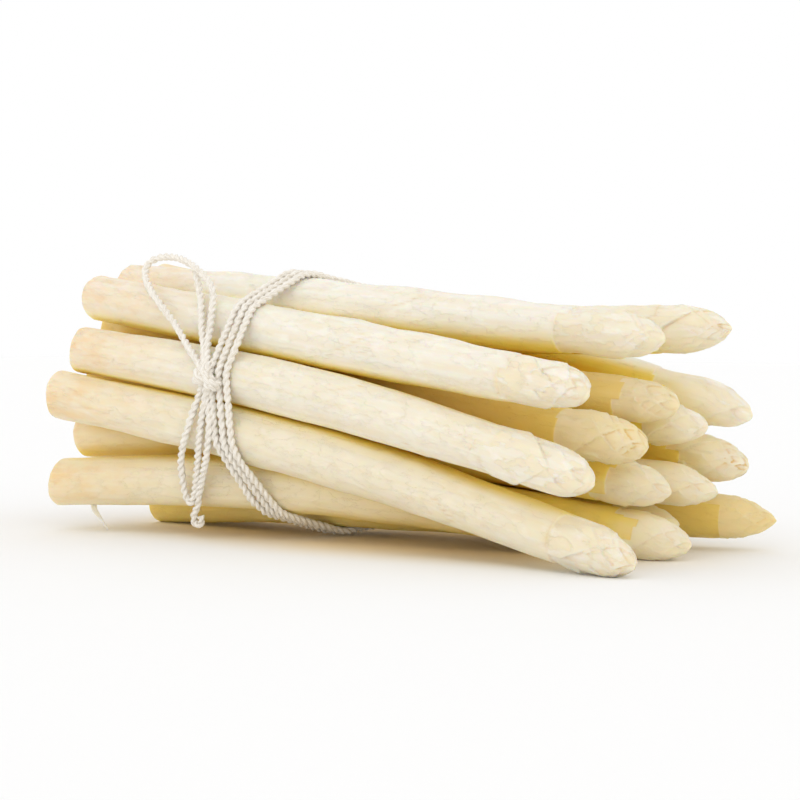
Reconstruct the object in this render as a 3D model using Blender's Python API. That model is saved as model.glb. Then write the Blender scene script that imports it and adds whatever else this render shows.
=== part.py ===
# A bundle of white asparagus, lying on its side and tied with natural twine.
# Metres, +Z up. The tips point along +X, the knot faces -Y and the bundle lies on z = 0.
# Each spear grew as one piece, so each is one closed body, with its scales raised from its surface.

from collections import namedtuple
from math import cos, pi, radians, sin

import bmesh
import bpy
import numpy as np

# A spear's radius at its cut end, at its thickest and below its head
BUTT_RADIUS = 0.0083
BODY_RADIUS = 0.0092
HEAD_RADIUS = 0.0080
HEAD_LENGTH = 0.026
HEAD_FULLNESS = 2.4
LEAST_RADIUS = 0.0003

# Scales of the head: how far each whorl's edge lies behind the tip, and how far its points reach on
WHORLS = (
    (0.040, 0.0068), (0.031, 0.0062), (0.0235, 0.0056),
    (0.0165, 0.0050), (0.0102, 0.0042), (0.0048, 0.0028))
SCALES_IN_WHORL = 3
SCALE_CURVE = 1.5
SCALE_STEP = 0.0008
SCALE_STEP_SHARE = 0.16
EDGE_WIDTH = 0.0005
HEAD_LEAD = 0.008

# Single bracts on the shaft, by their distance behind the tip
BRACTS = (0.064, 0.091, 0.124)
BRACT_LENGTH = 0.015
BRACT_POINT = 0.0045
BRACT_SPREAD = 0.011
BRACT_STEP = 0.0003
BRACT_SHIFT = 0.006
BRACT_SHIFT_PACE = 2.4
BRACT_COLUMNS = 5
SHAFT_RECESS = 0.0004

# Mesh of a spear
COLUMNS = 12
ROW_GAP = 0.024
CUT_BEVEL = 0.0011
CUT_RIM = 0.005
CUT_SLANT = 0.0014
CUT_HOLLOW = 0.0006

# How the spears settle against each other and the floor
STATIONS = 38
FIRST_STATION = -0.130
LAST_STATION = 0.126
SPEAR_GAP = 0.0005
FLOOR_SINK = 0.00055
BUTT_MARGIN = 0.004
ROUNDS = 500
LAST_ROUNDS = 8
LAST_PUSH = 0.7
STIFFNESS = 60.0
GUIDE_PULL = 0.8

# Ring of spears under the twine
RING_RADIUS = 0.0346
RING_HEIGHT = 0.0473
CORE_RADIUS = 0.0165
RING_X = -0.036

# Twine
TWINE_RADIUS = 0.0013
TWINE_GAP = 0.0003
TURNS = 3
TURN_PITCH = 0.0032
TURN_POINTS = 109
CROSSING = (130, 235)
CROSSING_RISE = (115, 145)
CROSSING_FALL = (215, 245)
CROSSING_LIFT = 0.0025
KNOT_DEGREES = 14
KNOT_HALF_DEGREES = 2
WRAP_RADIUS = 0.0021
WRAP_POINTS = 10
WRAP_MIDDLE = 0.0023
TIE_X = -0.0308
TIE_LEAN_Y = 0.285
TIE_LEAN_LOW = -0.109
TIE_LEAN_HIGH = -0.055
TIE_LEVEL = 0.045
WELD = 0.00001
SHARP_DEGREES = 50

# Colours and finish
SPEAR_COLOR = (0.86, 0.80, 0.62)
SPEAR_ROUGHNESS = 0.42
TWINE_COLOR = (0.80, 0.76, 0.68)
TWINE_ROUGHNESS = 0.9

# The roundness is the power that rounds the tip off: small for a blunt head, large for a pointed one
Spear = namedtuple("Spear", "name butt under_twine tip girth roundness first_scale guides")


def ring(degrees, radius=RING_RADIUS):
    """Place in the tied section, by the angle from the front (-Y) upwards."""
    angle = radians(degrees)
    return RING_X, -radius * cos(angle), RING_HEIGHT + radius * sin(angle)


def core(degrees):
    return ring(degrees, CORE_RADIUS)


def moved(place, y, z):
    return place[0], place[1] + y, place[2] + z


# Each spear from its cut end, past its place under the twine, to its tip
SPEARS = (
    Spear("spear_front_1", (-0.1126, -0.03, 0.083), ring(42), (0.098, -0.046, 0.0535), 1.0, 0.4, 0, ()),
    Spear("spear_front_2", (-0.1102, -0.042, 0.0634), ring(12), (0.103, -0.052, 0.0275), 1.0, 0.38, 2, ()),
    Spear("spear_front_3", (-0.1162, -0.048, 0.049), ring(-20), (0.1145, -0.047, 0.0036), 1.03, 0.56, 5, ()),
    Spear("spear_front_4", (-0.121, -0.042, 0.016), ring(-51), (0.109, 0.001, 0.0046), 1.04, 0.58, 7, ()),
    Spear("spear_low_1", (-0.108, 0.002, 0.0058), ring(-79), (0.095, 0.021, 0.009), 0.94, 0.6, 1, ()),
    Spear("spear_low_2", (-0.118, 0.021, 0.006), ring(-108), (0.119, 0.042, 0.0095), 0.98, 0.72, 4, ()),
    Spear("spear_back_1", (-0.115, 0.036, 0.022), moved(ring(-138), 0.004, 0.0), (0.08, 0.054, 0.024),
          0.95, 0.6, 8, ()),
    Spear("spear_back_2", (-0.119, 0.044, 0.04), moved(ring(-168), 0.005, 0.0), (0.1115, 0.036, 0.0265),
          1.0, 0.5, 10, ()),
    Spear("spear_back_3", (-0.114, 0.042, 0.06), moved(ring(162), 0.005, -0.001), (0.08, 0.054, 0.048),
          0.95, 0.6, 3, ()),
    Spear("spear_top_3", (-0.121, 0.03, 0.077), moved(ring(132), 0.005, -0.006), (0.112, 0.038, 0.0415),
          1.0, 0.56, 6, ((0.065, 0.033, 0.0575),)),
    Spear("spear_top_2", (-0.117, 0.011, 0.088), moved(ring(102), 0.002, -0.005), (0.113, 0.02, 0.072),
          1.02, 0.62, 9, ((0.045, 0.0145, 0.0712),)),
    Spear("spear_top_1", (-0.1152, -0.009, 0.0875), ring(72), (0.106, -0.012, 0.0685), 1.0, 0.54, 11, ()),
    Spear("spear_core_1", (-0.118, -0.025, 0.056), core(20), (0.106, -0.024, 0.036), 0.97, 0.45, 1, ()),
    Spear("spear_core_2", (-0.122, -0.014, 0.07), moved(core(92), 0.0, -0.003), (0.106, -0.003, 0.048),
          0.94, 0.48, 5, ()),
    Spear("spear_core_3", (-0.119, 0.01, 0.062), moved(core(164), 0.004, -0.003), (0.1085, 0.012, 0.041),
          0.94, 0.6, 8, ()),
    Spear("spear_core_4", (-0.114, 0.014, 0.038), moved(core(236), 0.003, 0.0), (0.1115, 0.014, 0.02),
          0.94, 0.66, 2, ()),
    Spear("spear_core_5", (-0.1222, -0.029, 0.0325), core(308), (0.106, -0.008, 0.0213), 0.96, 0.58, 10, ()),
)


# Routes of the bow's strands, from the knot and back to it, and of the twine's two ends
BOW = {
    "upper_loop": (
        (-0.0444, -0.0486, 0.0566), (-0.0492, -0.0466, 0.0598), (-0.0573, -0.0434, 0.0661),
        (-0.0649, -0.0408, 0.0731), (-0.0735, -0.0388, 0.0800), (-0.0816, -0.0355, 0.0860),
        (-0.0875, -0.0310, 0.0911), (-0.0879, -0.0280, 0.0950), (-0.0827, -0.0270, 0.0967),
        (-0.0748, -0.0280, 0.0961), (-0.0666, -0.0300, 0.0935), (-0.0586, -0.0325, 0.0892),
        (-0.0542, -0.0340, 0.0854), (-0.0529, -0.0350, 0.0813), (-0.0507, -0.0392, 0.0718),
        (-0.0481, -0.0438, 0.0638), (-0.0435, -0.0482, 0.0572)),
    "short_end": (
        (-0.0652, -0.0295, 0.0911), (-0.0622, -0.0316, 0.0862), (-0.0580, -0.0353, 0.0804),
        (-0.0544, -0.0390, 0.0718), (-0.0494, -0.0438, 0.0638), (-0.0440, -0.0476, 0.0562)),
    "lower_loop": (
        (-0.0447, -0.0480, 0.0545), (-0.0485, -0.0469, 0.0505), (-0.0515, -0.0466, 0.0447),
        (-0.0533, -0.0476, 0.0387), (-0.0572, -0.0462, 0.0311), (-0.0602, -0.0434, 0.0251),
        (-0.0616, -0.0408, 0.0194), (-0.0617, -0.0392, 0.0145), (-0.0601, -0.0388, 0.0122),
        (-0.0578, -0.0394, 0.0156), (-0.0534, -0.0430, 0.0240), (-0.0488, -0.0472, 0.0345),
        (-0.0475, -0.0466, 0.0445), (-0.0440, -0.0484, 0.0540)),
    "long_end": (
        (-0.0430, -0.0476, 0.0546), (-0.0456, -0.0468, 0.0492), (-0.0451, -0.0464, 0.0439),
        (-0.0442, -0.0474, 0.0383), (-0.0475, -0.0452, 0.0287), (-0.0524, -0.0416, 0.0209),
        (-0.0555, -0.0396, 0.0159), (-0.0572, -0.0382, 0.0116), (-0.0595, -0.0374, 0.0087),
        (-0.0604, -0.0370, 0.0060), (-0.0580, -0.0370, 0.0044), (-0.0555, -0.0370, 0.0060),
        (-0.0555, -0.0374, 0.0086)),
}

# The knot's two wraps: where each lies, and the direction of the strands inside it
WRAPS = (
    ((-0.0462, -0.0478, 0.0566), (0.8, -0.1, 0.6)),
    ((-0.0427, -0.0478, 0.0543), (0.3, 0.1, 0.95)),
)


def smooth_step(low, high, value):
    t = np.clip((value - low) / (high - low), 0, 1)
    return t * t * (3 - 2 * t)


def outer_radius(spear, x):
    """Radius that the spear stays within at x: thickest at its middle, and rounded off to its tip."""
    start = spear.butt[0]
    end = spear.tip[0]
    along = (x - start) / (end - start)
    swell = (BODY_RADIUS - BUTT_RADIUS) * smooth_step(0.0, 0.42, along)
    slimming = (BODY_RADIUS - HEAD_RADIUS) * smooth_step(0.5, 0.86, along)
    to_tip = np.clip((end - x) / HEAD_LENGTH, 0, 1)
    rounding = (1 - (1 - to_tip) ** HEAD_FULLNESS) ** spear.roundness
    return spear.girth * (BUTT_RADIUS + swell - slimming) * rounding


class Path:
    """Smooth middle line of a spear over x, through the heights and depths at the stations."""

    def __init__(self, stations, places):
        self.stations = stations
        self.places = places
        self.slopes = np.gradient(places, stations, axis=0)

    def at(self, x):
        step = self.stations[1] - self.stations[0]
        last = len(self.stations) - 2
        index = int(np.clip((x - self.stations[0]) // step, 0, last))
        t = (x - self.stations[index]) / step
        start, end = self.places[index], self.places[index + 1]
        start_slope, end_slope = self.slopes[index] * step, self.slopes[index + 1] * step
        bow = 2 * t ** 3 - 3 * t ** 2
        place = (1 + bow) * start + (t ** 3 - 2 * t ** 2 + t) * start_slope
        place = place - bow * end + (t ** 3 - t ** 2) * end_slope
        return np.array((x, place[0], place[1]))

    def tangent(self, x):
        slope = np.array([np.interp(x, self.stations, self.slopes[:, k]) for k in range(2)])
        direction = np.array((1.0, slope[0], slope[1]))
        return direction / np.linalg.norm(direction)


def station_weights(stations, places_x):
    """Rows that read a value at each x from the values at the stations."""
    rows = np.zeros((len(places_x), len(stations)))
    step = stations[1] - stations[0]
    for row, x in zip(rows, places_x):
        index = int(np.clip((x - stations[0]) // step, 0, len(stations) - 2))
        share = (x - stations[index]) / step
        row[index] = 1 - share
        row[index + 1] = share
    return rows


def push_apart(places, radii, present):
    """How far each spear has to move, at each station, to clear its neighbours and the floor."""
    between = places[:, None] - places[None, :]
    distance = np.maximum(np.linalg.norm(between, axis=3), 1e-9)
    wanted = radii[:, None] + radii[None, :] + SPEAR_GAP
    both = present[:, None] & present[None, :]
    both &= ~np.eye(len(places), dtype=bool)[:, :, None]
    short = np.where(both, np.maximum(wanted - distance, 0), 0)
    push = (between / distance[..., None] * short[..., None] * 0.5).sum(axis=1)
    lowest = radii * cos(pi / COLUMNS) - FLOOR_SINK
    push[..., 1] += np.where(present, np.maximum(lowest - places[..., 1], 0), 0)
    return push


def settle(spears):
    """Bend the spears softly until none cuts into another or into the floor."""
    stations = np.linspace(FIRST_STATION, LAST_STATION, STATIONS)
    radii = np.array([outer_radius(spear, stations) for spear in spears])
    present = np.array([(stations > s.butt[0] - BUTT_MARGIN) & (stations < s.tip[0]) for s in spears])
    bending = np.diff(np.eye(STATIONS), 2, axis=0)
    bending = STIFFNESS * bending.T @ bending
    pulls = []
    solvers = []
    places = []
    for spear in spears:
        guides = sorted((spear.butt, spear.under_twine, spear.tip) + spear.guides)
        rows = station_weights(stations, [guide[0] for guide in guides])
        wanted = np.array([guide[1:] for guide in guides])
        pull = GUIDE_PULL * rows.T @ wanted
        held = bending + GUIDE_PULL * rows.T @ rows
        start = np.linalg.solve(held + 1e-9 * np.eye(STATIONS), pull)
        places.append(start)
        pulls.append(pull)
        solvers.append(np.linalg.inv(held + np.eye(STATIONS)))
    places = np.array(places)
    pulls = np.array(pulls)
    solvers = np.array(solvers)
    for _ in range(ROUNDS):
        moved = places + push_apart(places, radii, present)
        places = solvers @ (pulls + moved)
    for _ in range(LAST_ROUNDS):
        places = places + LAST_PUSH * push_apart(places, radii, present)
    return [Path(stations, place) for place in places]


def column_angle(column):
    """A flat side faces straight down, so a spear that lies on the floor rests on it."""
    return -pi / 2 + (column + 0.5) * 2 * pi / COLUMNS


def columns_from(column, centre, period=COLUMNS):
    """Number of columns from the nearest repeat of the centre column."""
    away = (column - centre) % period
    return min(away, period - away)


def head_rows(spear):
    """Two rows for each whorl of scales: the standing edge, then the foot that it casts over."""
    rows = []
    width = COLUMNS // SCALES_IN_WHORL
    for number, (behind, reach) in enumerate(WHORLS):
        centre = spear.first_scale + number * width // 2
        edge = []
        foot = []
        for column in range(COLUMNS):
            across = columns_from(column, centre, width) / (width / 2)
            x = spear.tip[0] - behind + reach * (1 - across ** SCALE_CURVE)
            edge.append((x, 0.0))
            step = min(SCALE_STEP, SCALE_STEP_SHARE * outer_radius(spear, x))
            foot.append((x + EDGE_WIDTH, step))
        rows.append(edge)
        rows.append(foot)
    return rows


def bract_rows(spear, behind, centre):
    """A flat row, then the pointed edge of one bract that stands out of the shaft, then its foot."""
    point = spear.tip[0] - behind
    base = [(point - BRACT_SPREAD - BRACT_LENGTH / 2, SHAFT_RECESS)] * COLUMNS
    edge = []
    foot = []
    for column in range(COLUMNS):
        away = columns_from(column, centre)
        x = point - min(away * BRACT_POINT, BRACT_SPREAD)
        edge.append((x, 0.0 if away < 2 else SHAFT_RECESS))
        foot.append((x + EDGE_WIDTH, SHAFT_RECESS + (BRACT_STEP if away < 2 else 0.0)))
    return [base, edge, foot]


def spear_rows(spear, number):
    """All rows of a spear, from its cut end to its last scales, as (x, depth under the outer radius)."""
    start = spear.butt[0]
    rows = []
    for inset, depth in ((0.0, CUT_BEVEL), (CUT_BEVEL, 0.0), (CUT_BEVEL + CUT_RIM, 0.0)):
        row = []
        for column in range(COLUMNS):
            slant = CUT_SLANT * cos(column_angle(column) + number)
            row.append((start + CUT_SLANT + slant + inset, depth))
        rows.append(row)
    for turn, behind in sorted(enumerate(BRACTS), reverse=True):
        shift = BRACT_SHIFT * sin(BRACT_SHIFT_PACE * number + turn)
        rows += bract_rows(spear, behind + shift, spear.first_scale + BRACT_COLUMNS * turn + number)
    rows.append([(spear.tip[0] - WHORLS[0][0] - HEAD_LEAD, SHAFT_RECESS)] * COLUMNS)
    rows += head_rows(spear)
    filled = [rows[0]]
    for row in rows[1:]:
        last = max(x for x, depth in filled[-1])
        ahead = min(x for x, depth in row)
        extra = int((ahead - last) / ROW_GAP)
        for k in range(extra):
            filled.append([(last + (ahead - last) * (k + 1) / (extra + 1), SHAFT_RECESS)] * COLUMNS)
        filled.append(row)
    return filled


def surface_point(spear, path, x, angle, depth):
    """Point of the spear's surface; nothing reaches below the floor."""
    tangent = path.tangent(x)
    across = np.cross((0.0, 0.0, 1.0), tangent)
    across /= np.linalg.norm(across)
    above = np.cross(tangent, across)
    radius = max(outer_radius(spear, x) - depth, LEAST_RADIUS)
    point = path.at(x) - radius * cos(angle) * across + radius * sin(angle) * above
    point[2] = max(point[2], 0.0)
    return point


def spear_mesh(spear, path, number):
    mesh = bmesh.new()
    rings = []
    for row in spear_rows(spear, number):
        ring = []
        for column, (x, depth) in enumerate(row):
            ring.append(mesh.verts.new(surface_point(spear, path, x, column_angle(column), depth)))
        rings.append(ring)
    for near, far in zip(rings, rings[1:]):
        for column in range(COLUMNS):
            other = (column + 1) % COLUMNS
            mesh.faces.new((near[column], near[other], far[other], far[column]))
    cut_middle = mesh.verts.new(path.at(spear.butt[0] + CUT_SLANT + CUT_HOLLOW))
    tip = mesh.verts.new(path.at(spear.tip[0]))
    for column in range(COLUMNS):
        other = (column + 1) % COLUMNS
        mesh.faces.new((cut_middle, rings[0][other], rings[0][column]))
        mesh.faces.new((tip, rings[-1][column], rings[-1][other]))
    bmesh.ops.recalc_face_normals(mesh, faces=mesh.faces)
    return mesh


def tied_point(spears, paths, degrees, offset, lift):
    """Where the twine lies on the outermost spear in this direction round the bundle."""
    angle = radians(degrees)
    outwards = np.array((-cos(angle), sin(angle)))
    x = RING_X
    point = None
    for _ in range(4):
        reach = []
        for spear, path in zip(spears, paths):
            centre = path.at(x)
            radius = float(outer_radius(spear, x)) + TWINE_GAP + TWINE_RADIUS + lift
            reach.append((float(centre[1:] @ outwards) + radius, centre, radius))
        _, centre, radius = max(reach, key=lambda item: item[0])
        point = centre[1:] + radius * outwards
        rise = point[1] - TIE_LEVEL
        lean = TIE_LEAN_HIGH if rise > 0 else TIE_LEAN_LOW
        x = TIE_X + TIE_LEAN_Y * point[0] + lean * rise + offset
    return x, point[0], point[1]


def turns_route(spears, paths):
    """Three turns from the knot over the top, each beside the last, the last one back across them."""
    route = []
    swept_all = TURNS * 360 - 2 * KNOT_HALF_DEGREES
    for swept in KNOT_HALF_DEGREES + np.linspace(0, swept_all, TURN_POINTS):
        turn, within = divmod(swept, 360)
        degrees = within + KNOT_DEGREES
        across = float(smooth_step(*CROSSING, degrees))
        offset = TURN_PITCH * (turn + across)
        lift = 0.0
        if turn == TURNS - 1:
            offset = TURN_PITCH * (TURNS - 1) * (1 - across)
            lift = smooth_step(*CROSSING_RISE, degrees) - smooth_step(*CROSSING_FALL, degrees)
            lift = CROSSING_LIFT * float(lift)
        route.append(tied_point(spears, paths, degrees, offset, lift))
    return route


def smooth_route(points, parts=2):
    """Points of a smooth curve through the route's own points, with an even number between them."""
    route = [np.array(point) for point in points]
    route = [2 * route[0] - route[1]] + route + [2 * route[-1] - route[-2]]
    smooth = []
    for before, start, end, after in zip(route, route[1:], route[2:], route[3:]):
        for k in range(parts):
            t = k / parts
            bend = 2 * before - 5 * start + 4 * end - after
            twist = 3 * start - before - 3 * end + after
            smooth.append(start + 0.5 * ((end - before) * t + bend * t ** 2 + twist * t ** 3))
    smooth.append(route[-2])
    return smooth


def ring_points(centre, radius, axis):
    """One round wrap of the knot."""
    first = np.cross(axis, (0.0, 0.0, 1.0))
    first /= np.linalg.norm(first)
    second = np.cross(axis, first)
    second /= np.linalg.norm(second)
    turns = [2 * pi * k / WRAP_POINTS for k in range(WRAP_POINTS)]
    return [np.array(centre) + radius * (cos(turn) * first + sin(turn) * second) for turn in turns]


def tube(name, points, closed=False):
    """A round strand along the points, as a mesh object."""
    curve = bpy.data.curves.new(name, "CURVE")
    curve.dimensions = "3D"
    curve.bevel_depth = TWINE_RADIUS
    curve.bevel_resolution = 2
    curve.use_fill_caps = True
    spline = curve.splines.new("POLY")
    spline.points.add(len(points) - 1)
    for knot, point in zip(spline.points, points):
        knot.co = (*point, 1.0)
    spline.use_cyclic_u = closed
    drawn = bpy.data.objects.new(name + "_line", curve)
    bpy.context.scene.collection.objects.link(drawn)
    bpy.context.view_layer.update()
    graph = bpy.context.evaluated_depsgraph_get()
    data = bpy.data.meshes.new_from_object(drawn.evaluated_get(graph))
    bpy.data.objects.remove(drawn)
    closed_mesh = bmesh.new()
    closed_mesh.from_mesh(data)
    bmesh.ops.remove_doubles(closed_mesh, verts=closed_mesh.verts, dist=WELD)
    bmesh.ops.recalc_face_normals(closed_mesh, faces=closed_mesh.faces)
    closed_mesh.to_mesh(data)
    closed_mesh.free()
    return bpy.data.objects.new(name, data)


def ball(name, centre, radius):
    """Fills the middle of a wrap, where the strands are pressed together."""
    mesh = bmesh.new()
    bmesh.ops.create_icosphere(mesh, subdivisions=2, radius=radius)
    bmesh.ops.translate(mesh, verts=mesh.verts, vec=centre)
    data = bpy.data.meshes.new(name)
    mesh.to_mesh(data)
    mesh.free()
    return bpy.data.objects.new(name, data)


def without_scraps(data):
    """Keep the one large body of a joined mesh, without the slivers that joining may leave loose."""
    mesh = bmesh.new()
    mesh.from_mesh(data)
    unseen = set(mesh.verts)
    bodies = []
    while unseen:
        body = set()
        edge = {unseen.pop()}
        while edge:
            body |= edge
            edge = {link.other_vert(vert) for vert in edge for link in vert.link_edges} - body
        unseen -= body
        bodies.append(body)
    bodies.sort(key=len)
    for body in bodies[:-1]:
        bmesh.ops.delete(mesh, geom=list(body), context="VERTS")
    mesh.to_mesh(data)
    mesh.free()


def twine_object(spears, paths):
    """The twine's turns, knot, two loops and two ends, joined into one body."""
    made = tube("twine", turns_route(spears, paths))
    bpy.context.scene.collection.objects.link(made)
    others = bpy.data.collections.new("twine_strands")
    for name, route in BOW.items():
        others.objects.link(tube(name, smooth_route(route)))
    for number, (centre, axis) in enumerate(WRAPS):
        others.objects.link(tube("wrap_%d" % number, ring_points(centre, WRAP_RADIUS, axis), closed=True))
        others.objects.link(ball("middle_%d" % number, centre, WRAP_MIDDLE))
    join = made.modifiers.new("join", "BOOLEAN")
    join.operation = "UNION"
    join.operand_type = "COLLECTION"
    join.collection = others
    join.solver = "EXACT"
    bpy.context.view_layer.update()
    graph = bpy.context.evaluated_depsgraph_get()
    data = bpy.data.meshes.new_from_object(made.evaluated_get(graph))
    made.modifiers.clear()
    without_scraps(data)
    made.data = data
    for strand in list(others.objects):
        bpy.data.objects.remove(strand)
    bpy.data.collections.remove(others)
    return made


def material(name, color, roughness):
    made = bpy.data.materials.new(name)
    made.use_nodes = True
    shader = made.node_tree.nodes["Principled BSDF"]
    shader.inputs["Base Color"].default_value = (*color, 1.0)
    shader.inputs["Roughness"].default_value = roughness
    shader.inputs["Metallic"].default_value = 0.0
    return made


def place_object(made, finish, parent):
    made.data.materials.clear()
    made.data.materials.append(finish)
    made.parent = parent
    if made.name not in bpy.context.scene.collection.objects:
        bpy.context.scene.collection.objects.link(made)


def middle_of(objects):
    """Middle of the objects' box in x and y."""
    corners = np.array([vert.co for made in objects for vert in made.data.vertices])
    middle = (corners.min(axis=0) + corners.max(axis=0)) / 2
    return middle[0], middle[1]


def main():
    for old in list(bpy.data.objects):
        bpy.data.objects.remove(old)
    bundle = bpy.data.objects.new("bundle", None)
    bpy.context.scene.collection.objects.link(bundle)
    paths = settle(SPEARS)
    spears = []
    for number, (spear, path) in enumerate(zip(SPEARS, paths)):
        body = spear_mesh(spear, path, number)
        data = bpy.data.meshes.new(spear.name)
        body.to_mesh(data)
        body.free()
        data.shade_smooth()
        made = bpy.data.objects.new(spear.name, data)
        place_object(made, material(spear.name, SPEAR_COLOR, SPEAR_ROUGHNESS), bundle)
        spears.append(made)
    twine = twine_object(SPEARS, paths)
    place_object(twine, material("twine", TWINE_COLOR, TWINE_ROUGHNESS), bundle)
    twine.data.set_sharp_from_angle(angle=radians(SHARP_DEGREES))
    middle_x, middle_y = middle_of(spears)
    bundle.location = (-middle_x, -middle_y, 0.0)


main()
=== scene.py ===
# A bundle of peeled white asparagus tied with twine, as photographed on a white table.
# The spears' middle lines and sizes are read from the solids.
# Metres and degrees, unless named otherwise.

from collections import namedtuple
from math import cos, pi, radians, sin

import bpy
import numpy as np
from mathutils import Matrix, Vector


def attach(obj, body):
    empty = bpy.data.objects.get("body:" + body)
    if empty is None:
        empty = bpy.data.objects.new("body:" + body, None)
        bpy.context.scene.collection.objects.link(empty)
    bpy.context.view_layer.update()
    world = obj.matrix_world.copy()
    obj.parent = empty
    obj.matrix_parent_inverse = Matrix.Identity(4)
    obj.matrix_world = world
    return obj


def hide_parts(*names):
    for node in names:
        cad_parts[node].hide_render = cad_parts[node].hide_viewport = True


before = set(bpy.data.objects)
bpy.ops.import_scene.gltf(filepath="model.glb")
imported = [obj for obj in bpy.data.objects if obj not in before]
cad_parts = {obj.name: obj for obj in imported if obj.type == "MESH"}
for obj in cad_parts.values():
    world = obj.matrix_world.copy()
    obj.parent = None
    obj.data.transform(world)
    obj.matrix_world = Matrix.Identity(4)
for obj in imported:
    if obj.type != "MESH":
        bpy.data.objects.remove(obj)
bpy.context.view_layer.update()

# The bundle's middle lies at this place of its first layout, in which the twine's routes are given
LAYOUT_SHIFT = np.array((0.00201, -0.00102, 0.0))

# Camera, as the photograph was taken: from low down, in front and towards the tips
CAMERA_AZIMUTH = 35.0
CAMERA_ELEVATION = 2.2
CAMERA_DISTANCE = 0.650
CAMERA_TARGET = (0.00201, -0.00102, 0.0474)
CAMERA_LENS = 86.3
CAMERA_SENSOR = 36.0

# Light: an even white studio, with one broad soft light from above and one from low in front
SKY_STRENGTH = 1.0
SUNS = (
    # strength, place, spread in degrees
    (0.10, (-0.35, -0.40, 1.0), 50.0),
    (0.40, (0.40, -0.85, 0.12), 80.0))
FLOOR_HALF = 3.0
FLOOR_PALE = (0.940, 0.938, 0.935)
FLOOR_PALER = (0.945, 0.943, 0.940)

# Painted shadow: the table is tinted warm under the spears close above it, in an oval that fades out
FLOOR_PAINTED_SHADOW = (0.930, 0.800, 0.600)
FLOOR_PAINTED_SHADOW_AREA = (8.0, 17.0, 0.0)
FLOOR_PAINTED_SHADOW_FADE = (0.4, 1.1)

# A spear's radius at its cut end, at its thickest and below its head
BUTT_RADIUS = 0.0083
BODY_RADIUS = 0.0092
HEAD_RADIUS = 0.0080
HEAD_LENGTH = 0.026
HEAD_FULLNESS = 2.4
SOLID_RECESS = 0.00040
SHAFT_RECESS = 0.00014
NECK_DEPTH = 0.00038
NECK_LENGTH = 0.006
FIT_STEP = 0.004
FIT_POWER = 7

# Fineness of a spear's mesh
COLUMNS = 120
SHAFT_ROW = 0.0020
HEAD_ROW = 0.00030
HEAD_SPAN = 0.046
LAST_HEAD_ROW = 0.0012
TIP_ROWS = (0.0009, 0.0006, 0.00035, 0.00015, 0.00003)
LEAST_RADIUS = 0.00008
SPEAR_SEED = 1200

# Scales of the head: each next one starts nearer the tip, a golden turn further round
GOLDEN_TURN = radians(137.5)
SCALE_HALF_DEGREES = (85, 110)
SCALE_STRAY = 0.15
SCALE_BASE = 0.011
SCALE_SHOULDER = 0.85
SCALE_LENGTH = 1.9
SCALE_EDGE_CURVE = 1.25
SCALE_SINK = 0.0022
PLAIN_SINK = 0.45
SCALE_FALL = 1.15
LARGEST_SINK = 0.12
LEAST_POINT = 0.0004
LEAST_STEP = 0.00008
LEAST_CRACK_AND_SHADE = 0.2
# The ochre line beside each scale's edge is soft and wide enough to stand as painted shade under the
# step
CRACK_AND_SHADE_WIDTH = 0.00075
RIM_WIDTH = 0.00070
RIM_LIFT = 0.00020
SWELL_PLACE = 0.014
SWELL_REACH = 0.014
RAGGED_EDGE = 0.00025
RAGGED_WAVES = (14, 10)
SCALE_TINT = 0.8
RIM_TINT = 1.4

# Single bracts on the shaft, which the peeler left
BRACTS = (0.062, 0.088, 0.121)
BRACT_STRAY = 0.006
BRACT_LENGTH = 0.020
BRACT_POINT = 0.009
BRACT_HALF = 0.62
BRACT_RISE = 0.00026
BRACT_EDGE_CURVE = 1.2
BRACT_FALL = 1.5
BRACT_CRACK = 0.5

# The peeler's work: the square steps in which it stopped below the head, and its long flats
PEEL_SEED = 300
STROKES = 8
STOP_SPREAD = (-0.005, 0.004)
PEEL_EDGE = 0.0003
# Painted shade: an ochre line on the shaft just below the step where the peeler stopped
PEEL_RIM = 0.0004
PEEL_RIM_WIDTH = 0.0006
PEEL_STEP_SHADE = 0.45
FACETS = 15
FACET_HALF = 0.24
FACET_STRAY = 0.12
FACET_SWING = 0.22
FACET_PACE = (14, 30)
LEAST_FACET = 0.4
FACET_DEPTH = 0.00026
FACET_SLIMMING = 0.00014
SHADED_FACET = 0.3

# Unevenness of the skin: depth in the shade, depth that open light adds, waves round and along
SKIN_WAVES = (
    (0.00010, 0.00024, 3, 32),
    (0.00005, 0.00010, 8, 120))
HEAD_WAVE_DEPTH = 0.00012
HEAD_WAVES = (5, 90)
CALM_TIP = (0.001, 0.010)

# Cut end: its rings as shares of the radius, its bevel, slant, fibres and shallow dish
CUT_SHARES = (0.03, 0.12, 0.24, 0.36, 0.48, 0.60, 0.72, 0.83, 0.90, 0.94, 0.975, 0.993)
CUT_FACE = 0.92
CUT_BEVEL = 0.0007
BEVEL_STEPS = (0.12, 0.45, 1.0)
CUT_SLANT = 0.0012
SLANT_REACH = 0.008
FIBRE_DEPTH = 0.00010
FIBRE_WAVES = (12, 1)
FIBRE_TWIST = 9
DISH_DEPTH = 0.0004
DISH_MIDDLE = 0.6

# How far the stains reach from the cut end, and how far the pattern moves on from spear to spear
BUTT_REACH = 0.060
SKIN_SHIFT = 0.31

# The scrap of peel that hangs from one cut end
STRIP_PLACE = 0.0145
STRIP_DEGREES = -80.0
STRIP_ROOT = 0.0006
STRIP_STEPS = ((0, 0, 0), (0.0016, -0.0010, -0.0020), (0.0046, -0.0016, -0.0044))
STRIP_END = (0.0088, -0.0020)
STRIP_END_HEIGHT = 0.0010
STRIP_WIDTH = 0.0011
STRIP_THICKNESS = 0.00022
STRIP_SIDE = (0.45, 0.85, 0.25)
STRIP_FLAT = (0.80, -0.30, 0.50)

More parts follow.
